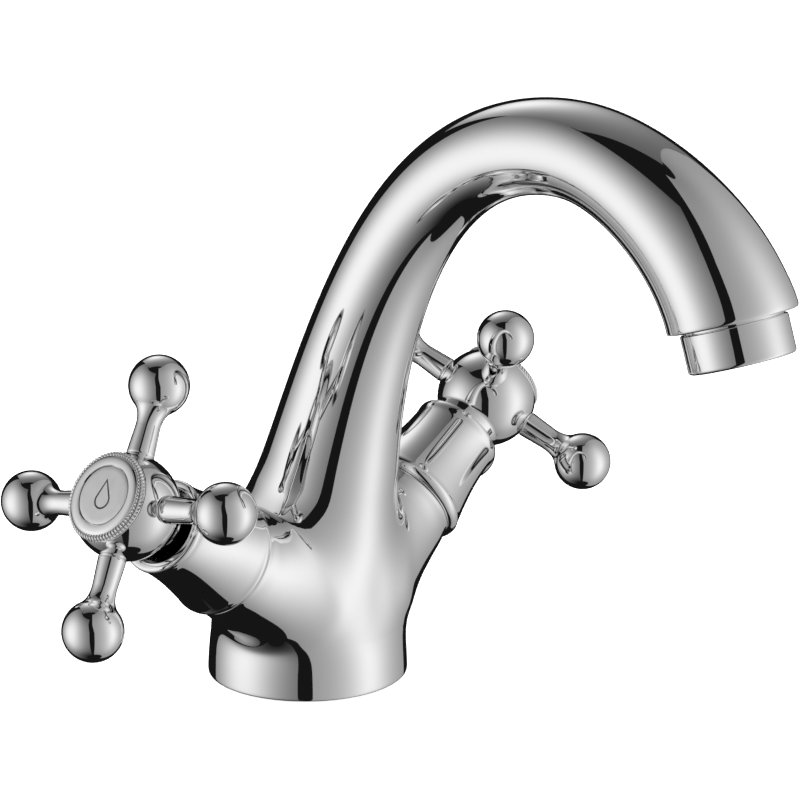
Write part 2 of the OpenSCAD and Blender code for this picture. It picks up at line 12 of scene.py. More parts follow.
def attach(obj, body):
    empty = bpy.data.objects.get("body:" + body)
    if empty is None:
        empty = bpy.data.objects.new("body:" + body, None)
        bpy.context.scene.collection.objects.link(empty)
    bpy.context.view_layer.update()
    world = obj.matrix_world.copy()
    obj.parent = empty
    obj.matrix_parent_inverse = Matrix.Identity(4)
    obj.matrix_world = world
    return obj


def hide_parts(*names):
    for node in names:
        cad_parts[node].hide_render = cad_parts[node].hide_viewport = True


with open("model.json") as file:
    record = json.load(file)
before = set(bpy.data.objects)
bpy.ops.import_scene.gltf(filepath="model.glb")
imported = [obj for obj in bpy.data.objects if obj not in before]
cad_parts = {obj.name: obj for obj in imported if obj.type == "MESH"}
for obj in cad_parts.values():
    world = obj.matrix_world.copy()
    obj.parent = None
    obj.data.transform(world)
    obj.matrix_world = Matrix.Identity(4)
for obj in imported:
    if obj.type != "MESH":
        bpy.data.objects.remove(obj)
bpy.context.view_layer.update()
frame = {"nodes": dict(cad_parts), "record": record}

bl_info = {
    "name": "Basin Mixer Tap",
    "version": (1, 0, 0),
    "blender": (4, 5, 0),
    "location": "View3D > Sidebar > Tap",
    "description": "Models the visible pieces of a basin mixer tap and the light tent it stands in",
    "category": "Object",
}

MM = 0.001
SIDES = {"left": -1, "right": 1}
REST_TURN = {"left": math.radians(8.8), "right": math.radians(34.8)}

# The spout's centre line: distance along Y, height and radius, in millimetres. The neck leans forward as
# it goes up, and so does the spout's end as it goes down.
NECK_LEAN, OUTLET_LEAN = math.radians(12.8), math.radians(18)
LEAN = Vector((-math.sin(NECK_LEAN), math.cos(NECK_LEAN), 0))
DROP = Vector((-math.sin(OUTLET_LEAN), -math.cos(OUTLET_LEAN), 0))
FOOT_TOP = Vector((0, 13, 24.3))
NECK_START = Vector((-3.5, 36, 20.1))
ARCH_TOP = Vector((-82, 145, 11.4))
SPOUT_END = Vector((-129.7, 112.1, 15.05))
SPINE_CURVES = (
    (Vector((0, 1, 25.3)), Vector((0, 6, 25.3)), Vector((0, 9, 24.4)), FOOT_TOP),
    (FOOT_TOP, Vector((0, 20, 24.1)), NECK_START - 10 * LEAN + Vector((0, 0, 1.7)), NECK_START),
    (NECK_START, NECK_START + 45 * LEAN - Vector((0, 0, 8.2)), ARCH_TOP + Vector((53, 0, -1.1)), ARCH_TOP),
    (ARCH_TOP, ARCH_TOP + Vector((-19.3, 0, 0.4)), SPOUT_END - 16.7 * DROP - Vector((0, 0, 0.8)), SPOUT_END),
)

# The right valve: tilt of its axis, its seat, the arm below it and the hub's centre out from the seat
VALVE_TILT = math.radians(32.2)
SEAT = Vector((33.1, -3.5, 38))
ARM_LENGTH = 24.8
HUB_OUT = 38.7
ARM_AXIS = Vector((math.cos(VALVE_TILT), 0, math.sin(VALVE_TILT)))
ARM_UNDER = Vector((math.sin(VALVE_TILT), 0, -math.cos(VALVE_TILT)))

# Columns of vertices around the casting's cage; an arm takes three on each side of its middle
COLUMNS = 24
OPPOSITE = COLUMNS // 2
COLUMN_STEP = 2 * math.pi / COLUMNS
HALF = 3
# How far an even ring's vertices stand out so that the smoothed ring keeps its radius
EVEN_SWELL = 6 / (4 + 2 * math.cos(COLUMN_STEP))
# Steps along each of the spine's curves
STEPS = 60
# Where the skin is ironed: from and to which height, up to where on the arms, and how often
IRONING = [(7, 62, -2.5, 6), (10, 58, -4, 8), (13, 54, -6, 12)]


class CastingSizes(bpy.types.PropertyGroup):
    """Sizes of the body casting"""

    seat_radius: FloatProperty(
        name="Seat radius", description="Radius of an arm at its valve seat", default=0.0137, unit="LENGTH"
    )
    root_radius: FloatProperty(
        name="Root radius",
        description="Radius of an arm where it enters the trunk",
        default=0.017,
        unit="LENGTH",
    )
    blend: FloatVectorProperty(
        name="Blend",
        description="Softness of the blend between an arm and the trunk: below, in front, above and behind",
        size=4,
        default=(0.004, 0.016, 0.008, 0.011),
        unit="LENGTH",
    )
    neck_blend: FloatProperty(
        name="Neck blend",
        description="Extra softness between an arm and the neck's back",
        default=0.012,
        unit="LENGTH",
    )


class HandleSizes(bpy.types.PropertyGroup):
    """Sizes of the cross handles and their caps"""

    hub_radius: FloatProperty(name="Hub radius", description="Radius of the hub", default=0.0129, unit="LENGTH")
    ball_radius: FloatProperty(
        name="Ball radius", description="Radius of a ball", default=0.0074, unit="LENGTH"
    )
    ball_out: FloatProperty(
        name="Ball distance",
        description="Distance from the hub's centre to a ball's",
        default=0.0306,
        unit="LENGTH",
    )
    arm_radius: FloatProperty(
        name="Arm radius", description="Radius of an arm at its root", default=0.0034, unit="LENGTH"
    )
    tip_radius: FloatProperty(
        name="Tip radius", description="Radius of an arm next to its ball", default=0.003, unit="LENGTH"
    )
    bead_count: IntProperty(
        name="Beads", description="Beads in the rope around a cap", default=74, min=40, max=140
    )


class TapFinish(bpy.types.PropertyGroup):
    """Colours and polish of the tap"""

    chrome: FloatVectorProperty(
        name="Chrome", description="Colour of the polished plating", subtype="COLOR", default=(0.93, 0.93, 0.93)
    )
    chrome_rough: FloatProperty(
        name="Chrome roughness", description="Roughness of the polished plating", default=0.02, min=0, max=1
    )
    satin: FloatVectorProperty(
        name="Satin", description="Colour of the satin buttons", subtype="COLOR", default=(0.9, 0.9, 0.9)
    )
    mark: FloatVectorProperty(
        name="Mark", description="Colour of the water drop's line", subtype="COLOR", default=(0.02, 0.02, 0.022)
    )
    brass: FloatVectorProperty(
        name="Brass", description="Colour of bare brass", subtype="COLOR", default=(0.72, 0.5, 0.2)
    )
    steel: FloatVectorProperty(
        name="Steel", description="Colour of plain steel", subtype="COLOR", default=(0.55, 0.55, 0.56)
    )
    rubber: FloatVectorProperty(
        name="Rubber", description="Colour of the seals", subtype="COLOR", default=(0.018, 0.018, 0.02)
    )
    plastic: FloatVectorProperty(
        name="Plastic", description="Colour of moulded pieces", subtype="COLOR", default=(0.75, 0.75, 0.72)
    )
    ceramic: FloatVectorProperty(
        name="Ceramic", description="Colour of the valve discs", subtype="COLOR", default=(0.82, 0.8, 0.74)
    )


# Selecting and shaping


def fresh():
    """Leaves edit mode and deselects everything."""
    if bpy.context.object and bpy.context.object.mode != "OBJECT":
        bpy.ops.object.mode_set(mode="OBJECT")
    bpy.ops.object.select_all(action="DESELECT")


def only(*pieces):
    """Selects these pieces alone and makes the first one active."""
    fresh()
    for piece in pieces:
        piece.select_set(True)
    bpy.context.view_layer.objects.active = pieces[0]


def edit_all():
    """Edits the active piece with all its vertices selected."""
    bpy.ops.object.mode_set(mode="EDIT")
    bpy.ops.mesh.select_mode(type="VERT")
    bpy.ops.mesh.select_all(action="SELECT")


def chosen_vertices(mesh):
    """The selected vertices of the edited mesh, in the order they were made."""
    mesh.verts.index_update()
    return sorted((v for v in mesh.verts if v.select), key=lambda v: v.index)


def put_loop(points):
    """Moves the selected vertices, in the order they were made, onto these points."""
    mesh = bmesh.from_edit_mesh(bpy.context.object.data)
    for vertex, point in zip(chosen_vertices(mesh), points, strict=True):
        vertex.co = point
    bmesh.update_edit_mesh(bpy.context.object.data)


def named(piece, name):
    piece.name = piece.data.name = name
    return piece


def first_loop(name, points):
    """Starts a piece, in edit mode, with one closed loop of edges."""
    fresh()
    bpy.ops.mesh.primitive_circle_add(vertices=len(points), radius=0.01)
    piece = named(bpy.context.object, name)
    edit_all()
    put_loop(points)
    return piece


def next_loop(points, crease=0.0):
    """Extrudes the selected loop and moves it onto these points; it doesn't keep the last loop's crease."""
    bpy.ops.mesh.extrude_region_move(TRANSFORM_OT_translate={"value": (0, 0, 0)})
    put_loop(points)
    bpy.ops.transform.edge_crease(value=crease or -1)


def select_where(test, kind="VERT"):
    """Selects the vertices or faces of the edited mesh that pass a test."""
    bpy.ops.mesh.select_mode(type=kind)
    bpy.ops.mesh.select_all(action="DESELECT")
    mesh = bmesh.from_edit_mesh(bpy.context.object.data)
    mesh.verts.index_update()
    for part in mesh.verts if kind == "VERT" else mesh.faces:
        if test(part):
            part.select = True
    mesh.select_flush_mode()
    bmesh.update_edit_mesh(bpy.context.object.data)


def facing_out():
    """Merges doubles and turns the edited mesh's faces outwards."""
    edit_all()
    bpy.ops.mesh.remove_doubles(threshold=1e-7)
    bpy.ops.mesh.normals_make_consistent(inside=False)


def smooth_by(piece, degrees):
    """Shades a piece smooth, apart from edges sharper than an angle."""
    only(piece)
    bpy.ops.object.shade_smooth_by_angle(angle=math.radians(degrees))


def modified(piece, kind, **settings):
    """Adds a modifier with its settings to a piece and applies it."""
    only(piece)
    bpy.ops.object.modifier_add(type=kind)
    modifier = piece.modifiers[-1]
    for name, value in settings.items():
        setattr(modifier, name, value)
    bpy.ops.object.modifier_apply(modifier=modifier.name)


def circle(radius, height, count):
    """Points of a level circle, from millimetres."""
    angles = [2 * math.pi * i / count for i in range(count)]
    return [MM * Vector((radius * math.cos(a), radius * math.sin(a), height)) for a in angles]


def turned(name, profile, count=96, degrees=30):
    """A closed piece turned around Z, from pairs of radius and height in millimetres; radius 0 makes a pole."""
    tiny = 1e-4
    rings = [(max(radius, tiny), height) for radius, height in profile]
    piece = first_loop(name, circle(*rings[0], count))
    for radius, height in rings[1:]:
        next_loop(circle(radius, height, count))
    if profile[-1][0] == 0:
        bpy.ops.mesh.merge(type="CENTER")
    else:
        bpy.ops.mesh.edge_face_add()
    select_where(lambda v: v.index < count)
    if profile[0][0] == 0:
        bpy.ops.mesh.merge(type="CENTER")
    elif profile[0] != profile[-1]:
        bpy.ops.mesh.edge_face_add()
    facing_out()
    smooth_by(piece, degrees)
    return piece


def curve_points(points, count):
    """Points along a cubic curve, without its first."""
    return [tuple(bezier([Vector(p) for p in points], i / count)) for i in range(1, count + 1)]


def arc(middle, radius, start, end, count):
    """Points of an arc in a profile, angles in degrees from the radius axis."""
    angles = [math.radians(start + (end - start) * i / count) for i in range(count + 1)]
    return [(middle[0] + radius * math.cos(a), middle[1] + radius * math.sin(a)) for a in angles]


def move_into_place(piece, matrix):
    """Puts a piece's place into its mesh."""
    only(piece)
    piece.matrix_world = matrix
    bpy.ops.object.transform_apply(location=True, rotation=True, scale=True)


def copied(piece, name):
    """A copy of a piece with its own mesh."""
    only(piece)
    bpy.ops.object.duplicate(linked=False)
    return named(bpy.context.object, name)


def joined(name, *pieces):
    only(*pieces)
    bpy.ops.object.join()
    return named(bpy.context.object, name)


def on_valve(side, out=0.0, turn=0.0):
    """The frame of a valve's seat, or a place further out along its axis."""
    sign = SIDES[side]
    return (
        Matrix.Translation(MM * Vector((sign * SEAT.x, SEAT.y, SEAT.z)))
        @ Matrix.Rotation(sign * (math.pi / 2 - VALVE_TILT), 4, "Y")
        @ Matrix.Translation((0, 0, out * MM))
        @ Matrix.Rotation(turn, 4, "Z")
    )


def on_outlet():
    """The frame of the spout's end, with Z along the water."""
    place = Matrix.Translation(MM * Vector((0, SPOUT_END.x, SPOUT_END.y)))
    return place @ Matrix.Rotation(math.pi - OUTLET_LEAN, 4, "X")


def finish(piece, body, slot, node, look=None):
    """Gives a piece the material of its look, or of its slot where no look is given, puts it under its body and
    hides the node it stands for.
    """
    piece.data.materials.clear()
    piece.data.materials.append(finish_of(look or slot))
    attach(piece, body)
    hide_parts(node)


# Materials


def add(tree, kind, operation=None, **values):
    """A new node with its operation and its inputs' own values; an underscore stands for a space."""
    node = tree.nodes.new(kind)
    if operation:
        node.operation = operation
    for label, value in values.items():
        node.inputs[label.replace("_", " ")].default_value = value
    return node


def wire(tree, *links):
    """Links sockets, each link from a node and its output to a node and its input."""
    for source, output, target, socket in links:
        tree.links.new(source.outputs[output], target.inputs[socket])


def noise_group(name, detail, inputs, output, kind):
    """A shader node group around a noise on Object coordinates, with named inputs and one output.

    Gives the group, its input node, the coordinates, the noise and its output node.
    """
    group = bpy.data.node_groups.new(name, "ShaderNodeTree")
    for label, socket_type, value in inputs:
        socket = group.interface.new_socket(label, in_out="INPUT", socket_type="NodeSocket" + socket_type)
        socket.default_value = value
    group.interface.new_socket(output, in_out="OUTPUT", socket_type="NodeSocket" + kind)
    given, where = add(group, "NodeGroupInput"), add(group, "ShaderNodeTexCoord")
    noise, result = add(group, "ShaderNodeTexNoise", Detail=detail), add(group, "NodeGroupOutput")
    wire(group, (where, "Object", noise, "Vector"), (given, "Scale", noise, "Scale"))
    return group, given, where, noise, result


def polish_group():
    """Roughness that wanders a little, as hands and cloths leave it."""
    inputs = [("Scale", "Float", 60.0), ("Low", "Float", 0.02), ("High", "Float", 0.05)]
    group, given, _, noise, result = noise_group("Polish", 4, inputs, "Roughness", "Float")
    spread = add(group, "ShaderNodeMapRange", From_Min=0.35, From_Max=0.7)
    wire(group, (noise, "Fac", spread, "Value"), (spread, "Result", result, "Roughness"))
    wire(group, (given, "Low", spread, "To Min"), (given, "High", spread, "To Max"))
    return group


def tone_group():
    """A colour that varies gently between two tones."""
    inputs = [("Scale", "Float", 40.0), ("Light", "Color", (1, 1, 1, 1)), ("Dark", "Color", (0.8, 0.8, 0.8, 1))]
    group, given, _, noise, result = noise_group("Tone", 3, inputs, "Color", "Color")
    mix = add(group, "ShaderNodeMix")
    mix.data_type = "RGBA"
    wire(group, (noise, "Fac", mix, "Factor"), (mix, "Result", result, "Color"))
    wire(group, (given, "Light", mix, "A"), (given, "Dark", mix, "B"))
    return group


def grain_group():
    """Height of a fine grain, stretched along one way."""
    inputs = [("Scale", "Float", 900.0), ("Stretch", "Vector", (1.0, 1.0, 1.0))]
    group, given, where, noise, result = noise_group("Grain", 2, inputs, "Height", "Float")
    mapping = add(group, "ShaderNodeMapping")
    wire(group, (where, "Object", mapping, "Vector"), (given, "Stretch", mapping, "Scale"))
    wire(group, (mapping, "Vector", noise, "Vector"), (noise, "Fac", result, "Height"))
    return group


def new_material(name):
    """A new material that uses nodes, with its node tree."""
    material = bpy.data.materials.new(name)
    material.use_nodes = True
    return material, material.node_tree


def effect(tree, name, build, **values):
    """Places the shared node group of that name, built once, with its own values."""
    node = add(tree, "ShaderNodeGroup")
    node.node_tree = bpy.data.node_groups.get(name) or build()
    for label, value in values.items():
        node.inputs[label].default_value = value
    return node


def surface(
    name, colour, metallic, low, high, patch, contrast, grain=0.0, grain_scale=900.0, stretch=(1, 1, 1)
):
    """A material with a gentle tone, a wandering polish and, where asked for, a fine grain."""
    found = bpy.data.materials.get(name)
    if found:
        return found
    material, tree = new_material(name)
    shader = tree.nodes["Principled BSDF"]
    shader.inputs["Metallic"].default_value = metallic
    dark = (*[c * (1 - contrast) for c in colour], 1)
    tone = effect(tree, "Tone", tone_group, Scale=patch, Light=(*colour, 1), Dark=dark)
    polish = effect(tree, "Polish", polish_group, Scale=patch * 1.7, Low=low, High=high)
    wire(tree, (tone, "Color", shader, "Base Color"), (polish, "Roughness", shader, "Roughness"))
    if grain:
        fine = effect(tree, "Grain", grain_group, Scale=grain_scale, Stretch=stretch)
        bump = add(tree, "ShaderNodeBump", Distance=grain * MM)
        wire(tree, (fine, "Height", bump, "Height"), (bump, "Normal", shader, "Normal"))
    return material


# Each finish: its material, its colour, metallic, the range of its roughness, scale and contrast of its tone
# and, where the surface has a grain, the grain's height in millimetres, its scale and its stretch. The
# chromes' roughness counts from the chosen one.
FINISHES = {
    "chrome_plate": ("Polished chrome", "chrome", 1.0, 0, 0.025, 45.0, 0.03),
    "turned_chrome": ("Turned chrome", "chrome", 1.0, 0, 0.02, 120.0, 0.03),
    "satin_chrome": ("Satin chrome", "satin", 1.0, 0.3, 0.42, 300.0, 0.05, 0.004, 2600.0, (1, 9, 1)),
    "dark_line": ("Dark line", "mark", 0.0, 0.35, 0.5, 300.0, 0.2),
    "brass": ("Turned brass", "brass", 1.0, 0.16, 0.3, 150.0, 0.15, 0.004, 1500.0, (6, 1, 1)),
    "steel": ("Plain steel", "steel", 1.0, 0.2, 0.35, 200.0, 0.1, 0.003, 1500.0, (1, 6, 1)),
    "rubber": ("Seal rubber", "rubber", 0.0, 0.5, 0.75, 250.0, 0.3, 0.02, 1200.0),
    "white_plastic": ("Moulded plastic", "plastic", 0.0, 0.3, 0.45, 120.0, 0.05, 0.008, 900.0),
    "ceramic": ("Lapped ceramic", "ceramic", 0.0, 0.08, 0.16, 200.0, 0.08, 0.002, 2500.0),
}


def finish_of(kind):
    """The material of a finish, made when it is first asked for."""
    name, colour, metallic, low, high, *rest = FINISHES[kind]
    chosen = bpy.context.scene.tap_finish
    if colour == "chrome":
        low, high = chosen.chrome_rough + low, chosen.chrome_rough + high
    return surface(name, getattr(chosen, colour), metallic, low, high, *rest)


# The casting's cage


def bezier(p, t):
    """The place at a share t of a cubic curve."""
    return p[0] * (1 - t) ** 3 + p[1] * 3 * t * (1 - t) ** 2 + p[2] * 3 * t * t * (1 - t) + p[3] * t**3


def bezier_way(p, t):
    """The curve's way there; its length isn't used."""
    return (p[1] - p[0]) * (1 - t) ** 2 + (p[2] - p[1]) * 2 * t * (1 - t) + (p[3] - p[2]) * t * t


def spine():
    """Marks along the spout's centre line: run from the foot, centre, way and radius, in millimetres."""
    marks = []
    run = 0.0
    for curve in SPINE_CURVES:
        for i in range(0 if not marks else 1, STEPS + 1):
            place, way = bezier(curve, i / STEPS), bezier_way(curve, i / STEPS)
            centre = Vector((0, place.x, place.y))
            if marks:
                run += (centre - marks[-1][1]).length
            marks.append((run, centre, Vector((0, way.x, way.y)).normalized(), place.z))
    return marks


SPINE = spine()
SPOUT_RUN = SPINE[-1][0]
# The marks that can be nearest to a point on the trunk, and every second mark up to further on the neck
TRUNK_MARKS = SPINE[:150]
BLEND_MARKS = SPINE[:180:2]


def mark_at(run):
    """Centre, way and radius at a run along the centre line."""
    step = next(i for i, mark in enumerate(SPINE[1:]) if run <= mark[0])
    share = (run - SPINE[step][0]) / (SPINE[step + 1][0] - SPINE[step][0])
    curve, t = SPINE_CURVES[step // STEPS], (step % STEPS + share) / STEPS
    place, way = bezier(curve, t), bezier_way(curve, t)
    return Vector((0, place.x, place.y)), Vector((0, way.x, way.y)).normalized(), place.z


def front_of(way):
    """The direction across the spout's middle plane that faces the front where the centre line goes up."""
    return Vector((0, -way.z, way.y))


def around(centre, way, radius, angle):
    """A point around the centre line; the angle counts from +X over the front."""
    return centre + radius * (math.cos(angle) * Vector((1, 0, 0)) + math.sin(angle) * front_of(way))


def on_skin(point):
    """The run and the angle of a point near the trunk."""
    run, centre, way, _ = min(TRUNK_MARKS, key=lambda mark: abs((point - mark[1]).dot(mark[2])))
    away = point - centre
    return run, math.atan2(away.dot(front_of(way)), away.x)


def arm_radius(sizes, out):
    """The right arm's radius; out counts from the seat and is negative below it, all in millimetres."""
    seat, root = sizes.seat_radius / MM, sizes.root_radius / MM
    return seat + (root - seat) * -out / ARM_LENGTH


def arm_point(sizes, out, angle, radius=None, swell=1.0):
    """A point on the right arm; the angle counts from the arm's underside over the back."""
    if radius is None:
        radius = arm_radius(sizes, out)
    around_axis = math.cos(angle) * ARM_UNDER + math.sin(angle) * Vector((0, 1, 0))
    return SEAT + ARM_AXIS * out + swell * radius * around_axis


def entry(sizes, angle):
    """How far out from the seat a line of the right arm enters the trunk."""
    out, deepest, step = -2.0, -30, 0.1
    while out > deepest:
        point = arm_point(sizes, out, angle)
        if any((point - centre).length < radius for _, centre, _, radius in TRUNK_MARKS):
            return out
        out -= step
    raise RuntimeError("an arm of the casting doesn't reach the trunk")


def arm_angle(row, column):
    """The angle around the arm of a place on the edge of its patch; rows go up, columns to the front."""
    if row == 0:
        return -column * COLUMN_STEP
    if row == 2 * HALF:
        return math.pi + column * COLUMN_STEP
    return -math.copysign(1, column) * (HALF + row) * COLUMN_STEP


def even_out(angles):
    """How far each vertex of a ring stands out so that the smoothed ring keeps its radius."""
    count = len(angles)
    return [
        6 / (4 + math.cos(angles[i] - angles[i - 1]) + math.cos(angles[(i + 1) % count] - angles[i]))
        for i in range(count)
    ]


def spread(start, end, count):
    """Evenly spaced values from start to end."""
    return [start + (end - start) * i / count for i in range(count + 1)]


def softness(sizes, angle):
    """How softly an arm blends into the trunk at an angle around it, in millimetres."""
    below, front, above, behind = sizes.blend
    up, back = -math.cos(angle), math.sin(angle)
    soft = (above if up > 0 else below) * up**2 + (behind if back > 0 else front) * back**2
    return (soft + sizes.neck_blend * 2 * max(0.0, up) * max(0.0, back)) / MM


def depth(sizes, point):
    """Distance of a point on the right side from the blended skin of trunk and arm; negative inside."""
    trunk = min((point - centre).length - radius for _, centre, _, radius in BLEND_MARKS)
    out = (point - SEAT).dot(ARM_AXIS)
    # The blend dies out before the seat, over its last millimetres
    blend_end, fading, least = -1.2, 6, 0.06
    room = min(1.0, max(least, (blend_end - out) / fading))
    out = max(out, -ARM_LENGTH)
    away = point - SEAT - out * ARM_AXIS
    arm = away.length - arm_radius(sizes, out)
    soft = softness(sizes, math.atan2(away.y, away.dot(ARM_UNDER))) * room
    # A smooth minimum of the two distances
    return min(trunk, arm) - soft / 6 * (max(0.0, soft - abs(trunk - arm)) / soft) ** 3


def settled(sizes, point, way):
    """Moves a point along a way until it lies on the blended skin."""
    rounds = 14
    for _ in range(rounds):
        point = point - depth(sizes, point) * way
    return point


def corner_point(sizes, angle):
    """Where an arm's line enters the trunk, settled on the blend, with the way out of the skin there."""
    point = arm_point(sizes, entry(sizes, angle), angle)
    centre = mark_at(on_skin(point)[0])[0]
    from_arm = arm_point(sizes, 0, angle) - SEAT
    way = ((point - centre).normalized() + from_arm.normalized()).normalized()
    return settled(sizes, point, way), way


def patch_rows(sizes):
    """The rings that carry the arms: for each column its run and angle."""
    rows = []
    for row in range(2 * HALF + 1):
        ring = [(0.0, 0.0)] * COLUMNS
        for column in range(-HALF, HALF + 1):
            if row in (0, 2 * HALF) or abs(column) == HALF:
                run, angle = on_skin(corner_point(sizes, arm_angle(row, column))[0])
            else:
                # Inside a patch, whose faces are deleted later, the place needn't be exact
                run, angle = 20.0 + 3 * row, column * COLUMN_STEP
            ring[column % COLUMNS] = (run, angle)
            ring[(OPPOSITE - column) % COLUMNS] = (run, math.pi - angle)
        # The columns in front of and behind the arms
        for first, last in ((HALF, OPPOSITE - HALF), (OPPOSITE + HALF, COLUMNS - HALF)):
            run, start = ring[first]
            end = ring[last][1]
            if first > OPPOSITE:
                start, end = start % (2 * math.pi), end % (2 * math.pi)
            for i, angle in enumerate(spread(start, end, last - first)):
                ring[first + i] = (run, angle)
        rows.append(ring)
    return rows


def beside(row, share, shift):
    """A ring beside a patch row: it returns to an even, level ring by the share that is left."""
    level = row[0][0]
    ring = []
    for column, (run, angle) in enumerate(row):
        plain = column * COLUMN_STEP
        off = (angle - plain + math.pi) % (2 * math.pi) - math.pi
        ring.append((level + (run - level) * share + shift, plain + off * share))
    return ring


def blended_ring(sizes, ring):
    """The points of a ring around trunk and arms, settled on the blended skin."""
    swell = even_out([angle for _, angle in ring])
    points = []
    for (run, angle), out in zip(ring, swell):
        centre, line_way, radius = mark_at(run)
        place = around(centre, line_way, radius, angle)
        side = Vector((abs(place.x), place.y, place.z))
        way = (side - centre).normalized()
        side = settled(sizes, side, way) + (out - 1) * radius * way
        points.append(MM * Vector((math.copysign(side.x, place.x), side.y, side.z)))
    return points


def even_ring(run, grow=0.0):
    """An even ring at a run, grown or shrunk by some millimetres."""
    centre, way, radius = mark_at(min(run, SPOUT_RUN))
    centre = centre + way * max(0.0, run - SPOUT_RUN)
    return [MM * around(centre, way, (radius + grow) * EVEN_SWELL, i * COLUMN_STEP) for i in range(COLUMNS)]


def flat_ring(radius, height):
    """A level ring around the foot, in the even rings' order."""
    centre, upwards = Vector((0, 0, height)), Vector((0, 0, 1))
    return [MM * around(centre, upwards, radius * EVEN_SWELL, i * COLUMN_STEP) for i in range(COLUMNS)]


